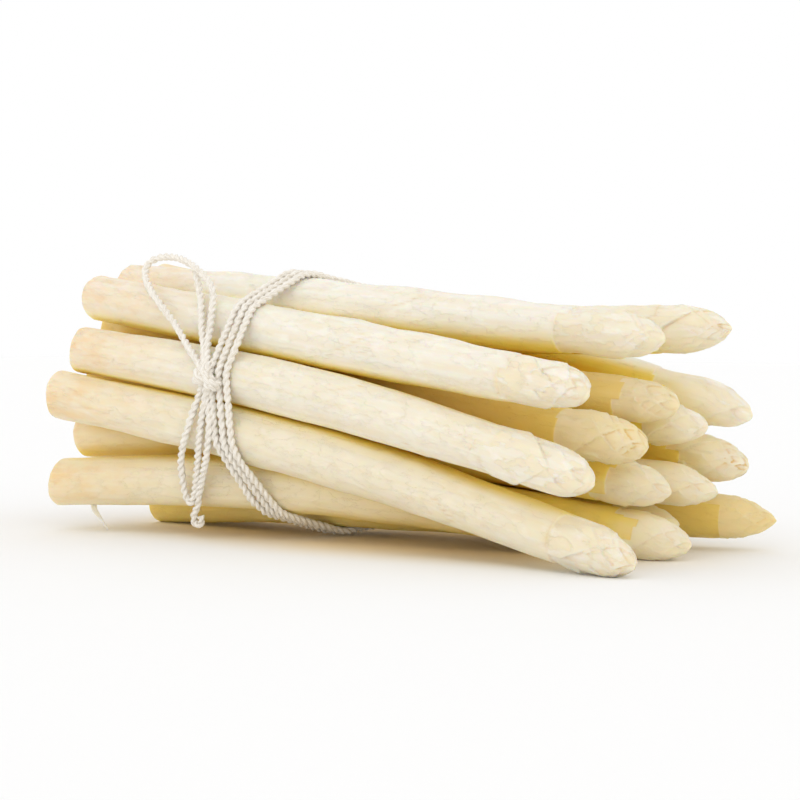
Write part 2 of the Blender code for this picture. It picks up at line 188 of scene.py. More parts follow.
# How much light reaches a place between the spears; the skin's colour shows what is missing as painted
# shade
SKY_RAYS = 25
SKY_HALF_DEGREES = 75
COARSE_ROW = 0.005
COARSE_COLUMNS = 24
END_LIGHT = 0.15
END_REACH = 0.030
FLOOR_LIGHT = 0.80
FLOOR_SHADE = 0.15
FLOOR_SHADE_EDGE = (0.025, 0.075)

# Look of each head: the power that rounds its tip off, how far behind the tip the peeled shaft ends,
# where the point of its lowest scale lies behind the tip and round the spear (from the front
# upwards), how many scales it has, how deep its scales sink and how strong its ochre edge lines are
# (partly split skin, partly painted shade under the scale edges and the peel step), how far it
# leans from ivory to olive, and how much thicker it is than most
Look = namedtuple("Look", "roundness peel first direction scales cracks olive swell")
LOOKS = {
    "spear_front_1": Look(0.40, 0.027, 0.0050, -20, 8, 0.45, 0.05, 0.00),
    "spear_front_2": Look(0.38, 0.036, 0.0110, 15, 6, 0.15, 0.12, 0.00),
    "spear_front_3": Look(0.56, 0.027, 0.0060, 55, 7, 0.70, 0.22, 0.00),
    "spear_front_4": Look(0.58, 0.020, 0.0050, 60, 7, 0.40, 0.30, 0.02),
    "spear_low_1": Look(0.60, 0.024, 0.0100, 0, 6, 0.40, 0.30, 0.00),
    "spear_low_2": Look(0.72, 0.022, 0.0030, 20, 6, 0.50, 1.70, 0.02),
    "spear_back_1": Look(0.60, 0.026, 0.0120, 0, 6, 0.40, 0.30, 0.00),
    "spear_back_2": Look(0.50, 0.026, 0.0070, 100, 11, 1.40, 0.35, 0.04),
    "spear_back_3": Look(0.60, 0.026, 0.0100, 40, 6, 0.40, 0.20, 0.00),
    "spear_top_3": Look(0.56, 0.030, 0.0040, 30, 5, 0.20, 0.00, 0.02),
    "spear_top_2": Look(0.62, 0.026, 0.0080, 80, 8, 0.70, 0.15, 0.03),
    "spear_top_1": Look(0.54, 0.032, 0.0040, 0, 6, 0.20, 0.00, 0.02),
    "spear_core_1": Look(0.45, 0.032, 0.0090, 45, 11, 1.30, 1.10, 0.05),
    "spear_core_2": Look(0.48, 0.022, 0.0030, -10, 7, 0.80, 0.85, 0.02),
    "spear_core_3": Look(0.60, 0.024, 0.0070, 35, 8, 0.40, 0.00, 0.02),
    "spear_core_4": Look(0.66, 0.025, 0.0040, 50, 6, 0.30, 0.40, 0.02),
    "spear_core_5": Look(0.58, 0.022, 0.0030, 10, 6, 0.50, 0.25, 0.03),
}

# Twine: its own size, and how it goes round the spears
TWINE_DIAMETER = 0.0026
TWINE_GAP = 0.00010
TURNS = 3
TURN_PITCH = 0.0032
TURN_POINTS = 217
CROSSING = (130, 235)
CROSSING_RISE = (115, 145)
CROSSING_FALL = (215, 245)
CROSSING_LIFT = 0.0025
KNOT_DEGREES = 14
KNOT_HALF_DEGREES = 2
RING_X = -0.036
TIE_X = -0.0308
TIE_LEAN_Y = 0.285
TIE_LEAN_LOW = -0.109
TIE_LEAN_HIGH = -0.055
TIE_LEVEL = 0.045
WRAP_RADIUS = 0.0022
WRAP_POINTS = 9
WRAP_TURNS = 1.6
WRAP_WIDTH = 0.0022
ROUTE_PARTS = 4
SMOOTHINGS = 3

# Its two plies, the strands that each is spun from, and the loose hairs. A wave is given by its size,
# and then by its pace along the twine.
PLY_RADIUS = 0.00082
PLY_OFFSET = 0.00048
PLY_PITCH = 0.0054
PLY_SIDES = 20
PLY_STEP = 0.00040
STRANDS = 5
STRAND_DEPTH = 0.055
STRAND_PITCH = 0.0046
TWIST_WAVES = ((0.6, 61), (0.3, 233))
SPREAD_WAVE = (0.10, 310, 97)
PLY_WAVES = ((0.06, 540), (0.04, 1310))
PLY_SHIFT = 2.3
HAIR_SEED = 77
HAIRS = 900
HAIR_RADIUS = 0.000028
HAIR_START = 0.00105
HAIR_RISE = (0.0002, 0.0007)
HAIR_LENGTH = (0.0006, 0.0024)
HAIR_BEND = 0.0003
HAIR_POINTS = 5
HAIR_HEIGHT = 0.0001

# Routes of the twine's short end, its two bows and its long end, as in the solids
SHORT_END = (
    (-0.0652, -0.0295, 0.0911), (-0.0622, -0.0316, 0.0862), (-0.0580, -0.0353, 0.0804),
    (-0.0544, -0.0390, 0.0718), (-0.0494, -0.0438, 0.0638), (-0.0455, -0.0490, 0.0572))
UPPER_LOOP = (
    (-0.0444, -0.0496, 0.0566), (-0.0492, -0.0466, 0.0598), (-0.0573, -0.0434, 0.0661),
    (-0.0649, -0.0408, 0.0731), (-0.0735, -0.0388, 0.0800), (-0.0816, -0.0355, 0.0860),
    (-0.0875, -0.0310, 0.0911), (-0.0879, -0.0280, 0.0950), (-0.0827, -0.0270, 0.0967),
    (-0.0748, -0.0280, 0.0961), (-0.0666, -0.0300, 0.0935), (-0.0586, -0.0325, 0.0892),
    (-0.0542, -0.0340, 0.0854), (-0.0529, -0.0350, 0.0813), (-0.0507, -0.0392, 0.0718),
    (-0.0481, -0.0438, 0.0638), (-0.0440, -0.0482, 0.0572))
LOWER_LOOP = (
    (-0.0452, -0.0495, 0.0545), (-0.0485, -0.0469, 0.0505), (-0.0515, -0.0466, 0.0447),
    (-0.0533, -0.0476, 0.0387), (-0.0572, -0.0462, 0.0311), (-0.0602, -0.0434, 0.0251),
    (-0.0616, -0.0408, 0.0194), (-0.0617, -0.0392, 0.0145), (-0.0601, -0.0388, 0.0122),
    (-0.0578, -0.0394, 0.0156), (-0.0534, -0.0430, 0.0240), (-0.0488, -0.0472, 0.0345),
    (-0.0475, -0.0466, 0.0445), (-0.0440, -0.0484, 0.0540))
LONG_END = (
    (-0.0425, -0.0480, 0.0550), (-0.0456, -0.0468, 0.0492), (-0.0451, -0.0464, 0.0439),
    (-0.0442, -0.0474, 0.0383), (-0.0475, -0.0452, 0.0287), (-0.0524, -0.0416, 0.0209),
    (-0.0555, -0.0396, 0.0159), (-0.0572, -0.0382, 0.0116), (-0.0595, -0.0374, 0.0087),
    (-0.0600, -0.0370, 0.0058), (-0.0583, -0.0370, 0.0044), (-0.0566, -0.0370, 0.0058),
    (-0.0570, -0.0372, 0.0080))
WRAPS = (
    ((-0.0464, -0.0486, 0.0557), (0.8, -0.1, 0.6)),
    ((-0.0420, -0.0486, 0.0538), (0.5, 0.1, 0.85)),
)

Scale = namedtuple("Scale", "direction half point shoulder base crack tint")


def smooth_step(low, high, value):
    t = np.clip((value - low) / (high - low), 0, 1)
    return t * t * (3 - 2 * t)


def turned(angle):
    """The same angle between half a turn back and half a turn on."""
    return (angle + pi) % (2 * pi) - pi


def circle_through(points):
    """Centre and radius of the circle that lies closest to the points."""
    rows = np.column_stack((2 * points, np.ones(len(points))))
    y, z, rest = np.linalg.lstsq(rows, (points ** 2).sum(axis=1), rcond=None)[0]
    return y, z, np.sqrt(rest + y * y + z * z)


class Spear:
    """Middle line and radius of one spear, read from its solid."""

    def __init__(self, name, number):
        self.name = name
        self.number = number
        self.look = LOOKS[name]
        self.rng = np.random.default_rng(SPEAR_SEED + number)
        corners, edges = self.solid_shape()
        self.start = corners[:, 0].min()
        self.tip = corners[corners[:, 0].argmax()]
        self.end = self.tip[0]
        self.middle = (self.start + self.end) / 2
        self.half = (self.end - self.start) / 2
        self.fit_middle_line(edges)

    def solid_shape(self):
        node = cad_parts[self.name]
        flat = np.empty(3 * len(node.data.vertices))
        node.data.vertices.foreach_get("co", flat)
        matrix = np.array(node.matrix_world)
        corners = flat.reshape(-1, 3) @ matrix[:3, :3].T + matrix[:3, 3]
        ends = np.empty(2 * len(node.data.edges), dtype=int)
        node.data.edges.foreach_get("vertices", ends)
        return corners, corners[ends.reshape(-1, 2)]

    def fit_middle_line(self, edges):
        """A smooth line through the middles of the solid's sections."""
        places = []
        sizes = []
        low, high = edges[:, 0], edges[:, 1]
        for x in np.arange(self.start + 1.5 * FIT_STEP, self.end - FIT_STEP, FIT_STEP):
            crossed = (low[:, 0] - x) * (high[:, 0] - x) < 0
            share = ((x - low[crossed, 0]) / (high[crossed, 0] - low[crossed, 0]))[:, None]
            y, z, radius = circle_through((low[crossed] + share * (high[crossed] - low[crossed]))[:, 1:])
            places.append((x, y, z))
            if x < self.end - HEAD_SPAN:
                sizes.append(radius / self.plain_radius(x))
        places = np.array(places + [self.tip])
        along = (places[:, 0] - self.middle) / self.half
        self.y_fit = np.polyfit(along, places[:, 1], FIT_POWER)
        self.z_fit = np.polyfit(along, places[:, 2], FIT_POWER)
        self.girth = np.median(sizes) + SOLID_RECESS / BODY_RADIUS

    def plain_radius(self, x):
        """Outer radius of a spear of average girth."""
        along = (x - self.start) / (self.end - self.start)
        swell = (BODY_RADIUS - BUTT_RADIUS) * smooth_step(0.0, 0.42, along)
        slimming = (BODY_RADIUS - HEAD_RADIUS) * smooth_step(0.5, 0.86, along)
        to_tip = np.clip((self.end - x) / HEAD_LENGTH, 0, 1)
        rounding = (1 - (1 - to_tip) ** HEAD_FULLNESS) ** self.look.roundness
        return (BUTT_RADIUS + swell - slimming) * rounding

    def radius(self, x):
        x = np.asarray(x, dtype=float)
        swell = 1 + self.look.swell * np.exp(-((self.end - x - SWELL_PLACE) / SWELL_REACH) ** 2)
        return self.girth * swell * self.plain_radius(x)

    def centre(self, x):
        x = np.asarray(x, dtype=float)
        along = (x - self.middle) / self.half
        return np.stack((x, np.polyval(self.y_fit, along), np.polyval(self.z_fit, along)), axis=-1)

    def axes(self, x):
        """Directions across and above the spear at x."""
        step = 0.001
        along = self.centre(x + step) - self.centre(x - step)
        along /= np.linalg.norm(along, axis=-1, keepdims=True)
        across = np.cross(np.broadcast_to((0.0, 0.0, 1.0), along.shape), along)
        across /= np.linalg.norm(across, axis=-1, keepdims=True)
        return across, np.cross(along, across)

    def points(self, x, angle, radius):
        """Points by their angle from the front upwards; none lies under the floor."""
        across, above = self.axes(x)
        outwards = -np.cos(angle)[..., None] * across + np.sin(angle)[..., None] * above
        made = self.centre(x) + radius[..., None] * outwards
        made[..., 2] = np.maximum(made[..., 2], 0.0)
        return made


spears = [Spear(name, number) for number, name in enumerate(sorted(LOOKS))]


def ray_light(start, direction, own):
    """Light along rays in a section across the bundle: 1 from the sky, less from the floor."""
    depth = np.maximum(-direction[..., 1], 1e-6)
    landing = start[..., 1] + direction[..., 0] * start[..., 2] / depth
    lit = smooth_step(*FLOOR_SHADE_EDGE, np.abs(landing))
    light = np.where(direction[..., 1] < 0, FLOOR_SHADE + (FLOOR_LIGHT - FLOOR_SHADE) * lit, 1.0)
    for other in spears:
        if other is own:
            continue
        offset = other.centre(start[..., 0])[..., 1:] - start[..., 1:]
        ahead = (offset * direction).sum(axis=-1)
        beside = np.abs(offset[..., 0] * direction[..., 1] - offset[..., 1] * direction[..., 0])
        there = (start[..., 0] > other.start) & (start[..., 0] < other.end)
        light = np.where(there & (ahead > 0) & (beside < other.radius(start[..., 0])), 0.0, light)
    return light


def light_map(spear):
    """Share of the open sky that a spear sees, on a coarse grid over its length and its turn."""
    x = np.linspace(spear.start, spear.end, int((spear.end - spear.start) / COARSE_ROW))
    angle = np.linspace(0, 2 * pi, COARSE_COLUMNS, endpoint=False)
    x, angle = np.meshgrid(x, angle, indexing="ij")
    start = spear.points(x, angle, spear.radius(x))
    total = 0
    weights = 0
    for ray in np.linspace(-SKY_HALF_DEGREES, SKY_HALF_DEGREES, SKY_RAYS):
        turn = angle + radians(ray)
        direction = np.stack((-np.cos(turn), np.sin(turn)), axis=-1)
        weight = cos(radians(ray))
        total = total + weight * ray_light(start, direction, spear)
        weights += weight
    return total / weights


def read_map(spear, values, x, angle):
    """Values of the coarse grid at finer places, evened out between its points."""
    row = np.clip((x - spear.start) / (spear.end - spear.start), 0, 1) * (len(values) - 1)
    column = (angle % (2 * pi)) / (2 * pi) * COARSE_COLUMNS
    row_start = np.minimum(row.astype(int), len(values) - 2)
    column_start = column.astype(int) % COARSE_COLUMNS
    down, right = row - row_start, column - column.astype(int)
    after = (column_start + 1) % COARSE_COLUMNS
    near = values[row_start, column_start] * (1 - right) + values[row_start, after] * right
    far = values[row_start + 1, column_start] * (1 - right) + values[row_start + 1, after] * right
    return near * (1 - down) + far * down


def wave_noise(rng, turns, pace, count=9):
    """A smooth sum of waves round and along the spear, between about -1 and 1."""
    waves = [(rng.integers(1, turns + 1), rng.uniform(0.2, 1) * pace, *rng.uniform(0, 2 * pi, 2))
             for _ in range(count)]

    def value(x, angle):
        parts = [np.cos(turn * angle + first) * np.cos(2 * pi * speed * x + second)
                 for turn, speed, first, second in waves]
        return sum(parts) / np.sqrt(count)
    return value


def head_scales(spear):
    """The overlapping scales of the head, the outermost first."""
    look = spear.look
    rng = spear.rng
    scales = []
    direction = radians(look.direction)
    for point in np.geomspace(look.first, LEAST_POINT, look.scales):
        size = point + SCALE_BASE
        scales.append(Scale(
            direction=direction, half=radians(rng.uniform(*SCALE_HALF_DEGREES)), point=point,
            shoulder=point + SCALE_SHOULDER * size, base=point + SCALE_LENGTH * size,
            crack=look.cracks * rng.uniform(LEAST_CRACK_AND_SHADE, 1.0), tint=rng.uniform(-1, 1)))
        direction += GOLDEN_TURN + rng.uniform(-SCALE_STRAY, SCALE_STRAY)
    return scales


def peel_line(spear, angle):
    """Distance behind the tip at which the peeler stopped, in square steps round the spear."""
    rng = np.random.default_rng(PEEL_SEED + spear.number)
    strokes = np.sort(rng.uniform(0, 2 * pi, STROKES))
    stops = spear.look.peel + rng.uniform(*STOP_SPREAD, STROKES + 1)
    stops[-1] = stops[0]
    return stops[np.searchsorted(strokes, angle % (2 * pi))]


def peel_facets(rng, x, angle):
    """Depth of the long shallow flats that the peeler leaves, 0 to about 1."""
    depth = np.zeros_like(x)
    for k in range(FACETS):
        swing = FACET_SWING * np.sin(x * rng.uniform(*FACET_PACE) + rng.uniform(0, 2 * pi))
        middle = k * 2 * pi / FACETS + rng.uniform(-FACET_STRAY, FACET_STRAY) + swing
        away = np.abs(turned(angle - middle)) / FACET_HALF
        depth = np.maximum(depth, rng.uniform(LEAST_FACET, 1.0) * np.clip(1 - away ** 2, 0, 1))
    return depth


def head_relief(spear, behind, angle):
    """Depth of the head's scales under the outer radius, with the ochre lines at their edges, partly
    split skin and partly painted shade, and their tints.
    """
    sink = SCALE_SINK * (PLAIN_SINK + (1 - PLAIN_SINK) * min(spear.look.cracks, 1))
    depth = np.full_like(behind, sink)
    crack = np.zeros_like(behind)
    tint = np.zeros_like(behind)
    ragged = wave_noise(spear.rng, *RAGGED_WAVES)(behind, angle)
    for scale in reversed(head_scales(spear)):
        away = np.abs(turned(angle - scale.direction)) / scale.half
        edge = scale.point + (scale.shoulder - scale.point) * away ** SCALE_EDGE_CURVE
        edge = edge + RAGGED_EDGE * ragged
        rise = np.clip((scale.base - behind) / (scale.base - edge), 0, 1)
        rim = np.exp(-np.abs(behind - edge) / RIM_WIDTH)
        own = sink * (1 - rise) ** SCALE_FALL - RIM_LIFT * rim
        covers = (away < 1) & (behind > edge) & (behind < scale.base) & (own < depth)
        open_edge = (away < 1) & (behind < edge) & (depth > LEAST_STEP)
        # Ochre line just outside the edge: partly split skin, partly painted shade under the step
        line = np.exp(np.minimum(behind - edge, 0) / CRACK_AND_SHADE_WIDTH) * open_edge
        crack = np.where(covers, 0, np.maximum(crack, scale.crack * line))
        tint = np.where(covers, np.minimum(SCALE_TINT * scale.tint + RIM_TINT * rim, 1), tint)
        depth = np.where(covers, own, depth)
    return depth, crack, tint


def shaft_relief(spear, behind, angle):
    """Depth of the peeled shaft under the outer radius, and the lines at the points of its bracts."""
    depth = np.full_like(behind, SHAFT_RECESS)
    crack = np.zeros_like(behind)
    for number, place in enumerate(BRACTS):
        direction = radians(spear.look.direction) + GOLDEN_TURN * (number + 2)
        place = place + spear.rng.uniform(-BRACT_STRAY, BRACT_STRAY)
        away = np.abs(turned(angle - direction)) / BRACT_HALF
        edge = place + BRACT_POINT * away ** BRACT_EDGE_CURVE
        rise = np.clip((place + BRACT_LENGTH - behind) / (place + BRACT_LENGTH - edge), 0, 1)
        raised = (away < 1) & (behind > edge) & (behind < place + BRACT_LENGTH)
        depth = np.where(raised, depth - BRACT_RISE * rise ** BRACT_FALL * (1 - away ** 4), depth)
        line = np.exp(np.minimum(behind - edge, 0) / CRACK_AND_SHADE_WIDTH) * (away < 1) * (behind < edge)
        crack = np.maximum(crack, BRACT_CRACK * line)
    return depth, crack


def relief(spear, x, angle):
    """Depth of the surface under the outer radius, and its ochre edge lines (split skin and painted
    shade), tint and share of the head.
    """
    behind = spear.end - x
    head_depth, head_crack_and_shade, tint = head_relief(spear, behind, angle)
    head_depth = np.minimum(head_depth, LARGEST_SINK * spear.radius(x))
    shaft_depth, shaft_crack = shaft_relief(spear, behind, angle)
    stop = peel_line(spear, angle)
    shaft_depth += NECK_DEPTH * np.exp(-np.maximum(behind - stop, 0) / NECK_LENGTH)
    in_head = smooth_step(PEEL_EDGE, -PEEL_EDGE, behind - stop)
    # Painted shade line on the shaft just below the peel step
    rim = np.exp(-np.abs(behind - stop - PEEL_RIM) / PEEL_RIM_WIDTH) * spear.look.cracks
    depth = shaft_depth * (1 - in_head) + head_depth * in_head
    crack = shaft_crack * (1 - in_head) + head_crack_and_shade * in_head + PEEL_STEP_SHADE * rim
    return depth, np.clip(crack, 0, 1), tint * in_head, in_head


def spear_grid(spear):
    """Places along and round the spear, from the middle of its cut end to its tip."""
    head_start = spear.end - HEAD_SPAN
    shaft = np.arange(spear.start + CUT_SLANT + 3 * CUT_BEVEL, head_start, SHAFT_ROW)
    head = np.arange(head_start, spear.end - LAST_HEAD_ROW, HEAD_ROW)
    tip = spear.end - np.array(TIP_ROWS)
    bevel = np.zeros(len(CUT_SHARES))
    bevel[-len(BEVEL_STEPS):] = BEVEL_STEPS
    cut = spear.start + CUT_SLANT + CUT_BEVEL * bevel
    x = np.concatenate((cut, shaft, head, tip))
    share = np.concatenate((CUT_SHARES, np.ones(len(shaft) + len(head) + len(tip))))
    angle = np.linspace(0, 2 * pi, COLUMNS, endpoint=False)
    x, angle = np.meshgrid(x, angle, indexing="ij")
    return x, angle, np.repeat(share[:, None], COLUMNS, axis=1)


def spear_surface(spear):
    """Rings of the spear's surface, with the facts about each point that its material reads."""
    rng = spear.rng
    x, angle, share = spear_grid(spear)
    depth, crack, tint, in_head = relief(spear, x, angle)
    along = (x - spear.start) / (spear.end - spear.start)
    radius = spear.radius(x) - depth
    light = read_map(spear, light_map(spear), x, angle)
    to_tip = smooth_step(*CALM_TIP, spear.end - x)
    for shaded, lit, turns, pace in SKIN_WAVES:
        radius += (shaded + lit * light) * wave_noise(rng, turns, pace)(x, angle) * to_tip
    radius += HEAD_WAVE_DEPTH * wave_noise(rng, *HEAD_WAVES)(x, angle) * in_head * to_tip
    facets = peel_facets(rng, x, angle) * (FACET_DEPTH - FACET_SLIMMING * along) * (1 - in_head)
    radius -= facets * (SHADED_FACET + (1 - SHADED_FACET) * light)
    radius = np.maximum(radius, LEAST_RADIUS) * share
    lean = rng.uniform(0, 2 * pi)
    near_cut = np.clip(1 - (x - spear.start) / SLANT_REACH, 0, 1)
    slant = CUT_SLANT * np.cos(angle - lean) * share * near_cut
    on_cut = share < CUT_FACE
    fibres = FIBRE_DEPTH * wave_noise(rng, *FIBRE_WAVES)(x, angle + FIBRE_TWIST * share)
    uneven = on_cut * (fibres - DISH_DEPTH * (share - DISH_MIDDLE))
    rings = spear.points(x + slant + uneven, angle, radius)
    near_butt = 1 - smooth_step(0.0, BUTT_REACH, x - spear.start)
    end_light = 1 - END_LIGHT * np.exp(-(spear.end - x) / END_REACH)
    # The first tone channel is painted shade: the sky that the other spears hide, a little less near the
    # tip
    tone = np.stack(((1 - light) * end_light, crack, near_butt, in_head), axis=-1)
    extra = np.stack((on_cut * 1.0, 0.5 + 0.5 * tint, np.full_like(x, spear.look.olive)), axis=-1)
    along_skin = x - spear.start + spear.number * SKIN_SHIFT
    skin = np.stack((along_skin, radius * np.cos(angle), radius * np.sin(angle)), axis=-1)
    return rings, tone, extra, skin


class Shape:
    """Collects closed grids of rings into one mesh, with the facts about its points."""

    def __init__(self):
        self.stores = ([], [], [], [])
        self.quads = []
        self.triangles = []
        self.count = 0

    def add(self, rings, tone, extra, skin):
        rows, columns = rings.shape[:2]
        index = self.count + np.arange(rows * columns).reshape(rows, columns)
        after = np.roll(index, -1, axis=1)
        quads = np.stack((index[:-1], after[:-1], after[1:], index[1:]), axis=-1)
        self.quads.append(quads.reshape(-1, 4))
        first = np.full(columns, self.count + rows * columns)
        self.triangles.append(np.stack((first, after[0], index[0]), axis=-1))
        self.triangles.append(np.stack((first + 1, index[-1], after[-1]), axis=-1))
        for store, values in zip(self.stores, (rings, tone, extra, skin)):
            store.append(values.reshape(rows * columns, -1))
            store.append(values[0].mean(axis=0)[None])
            store.append(values[-1].mean(axis=0)[None])
        self.count += rows * columns + 2

    def object(self, name, material):
        corners, tone, extra, skin = (np.concatenate(store).astype(np.float32) for store in self.stores)
        quads, triangles = np.concatenate(self.quads), np.concatenate(self.triangles)
        sides = np.concatenate((np.full(len(quads), 4), np.full(len(triangles), 3)))
        order = np.concatenate((quads.ravel(), triangles.ravel())).astype(np.int32)
        mesh = bpy.data.meshes.new(name)
        mesh.vertices.add(len(corners))
        mesh.vertices.foreach_set("co", corners.ravel())
        mesh.loops.add(int(sides.sum()))
        mesh.loops.foreach_set("vertex_index", order)
        mesh.polygons.add(len(sides))
        mesh.polygons.foreach_set("loop_start", (np.cumsum(sides) - sides).astype(np.int32))
        mesh.update(calc_edges=True)
        mesh.attributes.new("tone", "FLOAT_COLOR", "POINT").data.foreach_set("color", tone.ravel())
        mesh.attributes.new("extra", "FLOAT_VECTOR", "POINT").data.foreach_set("vector", extra.ravel())
        mesh.attributes.new("skin", "FLOAT_VECTOR", "POINT").data.foreach_set("vector", skin.ravel())
        mesh.validate()
        mesh.shade_smooth()
        mesh.materials.append(material)
        made = bpy.data.objects.new(name, mesh)
        bpy.context.scene.collection.objects.link(made)
        return made


def plain_facts(rings):
    """Facts for parts that only need their place: no shade, crack or tint."""
    return rings, np.zeros((*rings.shape[:2], 4)), np.zeros((*rings.shape[:2], 3)), rings.copy()


def spear_piece(spear, material):
    shape = Shape()
    shape.add(*spear_surface(spear))
    if spear.name == "spear_front_4":
        shape.add(*plain_facts(peel_strip(spear)))
    made = shape.object(spear.name.replace("spear", "asparagus"), material)
    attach(made, "root")
    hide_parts(spear.name)


def peel_strip(spear):
    """A scrap of peel that hangs from under the cut end to the floor."""
    x = spear.start + STRIP_PLACE
    root = spear.points(np.array(x), np.array(radians(STRIP_DEGREES)), spear.radius(x) - STRIP_ROOT)
    steps = (*STRIP_STEPS, (*STRIP_END, STRIP_END_HEIGHT - root[2]))
    route = smooth_route(root + np.array(steps), 6)
    t = np.linspace(0, 1, len(route))[:, None]
    around = np.linspace(0, 2 * pi, 12, endpoint=False)[None, :]
    width = STRIP_WIDTH * (1 - 0.85 * t ** 2) * np.cos(around)
    thick = STRIP_THICKNESS * (1 - 0.6 * t) * np.sin(around)
    across = width[..., None] * np.array(STRIP_SIDE)
    return route[:, None] + across + thick[..., None] * np.array(STRIP_FLAT)


class Graph:
    """Places and links the nodes of one material."""

    def __init__(self, name):
        self.material = bpy.data.materials.new(name)
        self.material.use_nodes = True
        self.nodes = self.material.node_tree.nodes
        self.shader = self.nodes["Principled BSDF"]

    def add(self, kind, **values):
        node = self.nodes.new(kind)
        for key, value in values.items():
            setattr(node, key, value)
        return node

    def put(self, socket, value):
        """Link a socket to another one, or give it a plain value."""
        if isinstance(value, bpy.types.NodeSocket):
            self.material.node_tree.links.new(value, socket)
        elif isinstance(value, tuple) and socket.type == "RGBA":
            socket.default_value = (*value, 1.0)
        else:
            socket.default_value = value

    def set(self, name, value):
        self.put(self.shader.inputs[name], value)

    def read(self, name, output):
        return self.add("ShaderNodeAttribute", attribute_name=name).outputs[output]

    def split(self, kind, value):
        made = self.add(kind)
        self.put(made.inputs[0], value)
        return tuple(made.outputs)

    def stretched(self, vector, stretch):
        made = self.add("ShaderNodeVectorMath", operation="MULTIPLY")
        self.put(made.inputs[0], vector)
        self.put(made.inputs[1], stretch)
        return made.outputs[0]

    def noise(self, vector, stretch, detail=3.0, roughness=0.5):
        made = self.add("ShaderNodeTexNoise")
        self.put(made.inputs["Vector"], self.stretched(vector, stretch))
        for name, value in (("Scale", 1.0), ("Detail", detail), ("Roughness", roughness)):
            self.put(made.inputs[name], value)
        return made.outputs["Fac"]

    def dots(self, vector, stretch):
        made = self.add("ShaderNodeTexVoronoi")
        self.put(made.inputs["Vector"], self.stretched(vector, stretch))
        self.put(made.inputs["Scale"], 1.0)
        return made.outputs["Distance"]

    def ramp(self, value, low, high, start=0.0, end=1.0):
        made = self.add("ShaderNodeMapRange", interpolation_type="SMOOTHSTEP")
        names = ("Value", "From Min", "From Max", "To Min", "To Max")
        for name, number in zip(names, (value, low, high, start, end)):
            self.put(made.inputs[name], number)
        return made.outputs["Result"]

    def times(self, first, second):
        made = self.add("ShaderNodeMath", operation="MULTIPLY")
        self.put(made.inputs[0], first)
        self.put(made.inputs[1], second)
        return made.outputs[0]

    def mix(self, factor, first, second):
        made = self.add("ShaderNodeMix", data_type="RGBA")
        for number, value in ((0, factor), (6, first), (7, second)):
            self.put(made.inputs[number], value)
        return made.outputs[2]

    def bump(self, height, distance, before=None):
        made = self.add("ShaderNodeBump")
        self.put(made.inputs["Distance"], distance)
        self.put(made.inputs["Height"], height)
        if before is not None:
            self.put(made.inputs["Normal"], before)
        return made.outputs["Normal"]


# Colours of the asparagus, from its open ivory skin to the painted ochre shade between the spears
IVORY = (0.860, 0.825, 0.735)
CREAM = (0.855, 0.785, 0.630)
PALE = (0.910, 0.885, 0.810)
HEAD_IVORY = (0.850, 0.770, 0.600)
HEAD_CREAM = (0.860, 0.760, 0.540)
OLIVE = (0.790, 0.580, 0.150)
TAN = (0.850, 0.650, 0.420)
# Ochre of split skin, also used as painted shade beside the scale edges and the peel step
CRACK_AND_EDGE_SHADE = (0.700, 0.430, 0.080)
# Painted shade colours, from half shade to the deepest gaps
SHADE = (0.970, 0.750, 0.130)
HALF_SHADE = (0.950, 0.865, 0.660)
DEEP_SHADE = (0.980, 0.600, 0.030)
CUT = (0.860, 0.780, 0.600)
CUT_DOTS = (0.740, 0.600, 0.380)


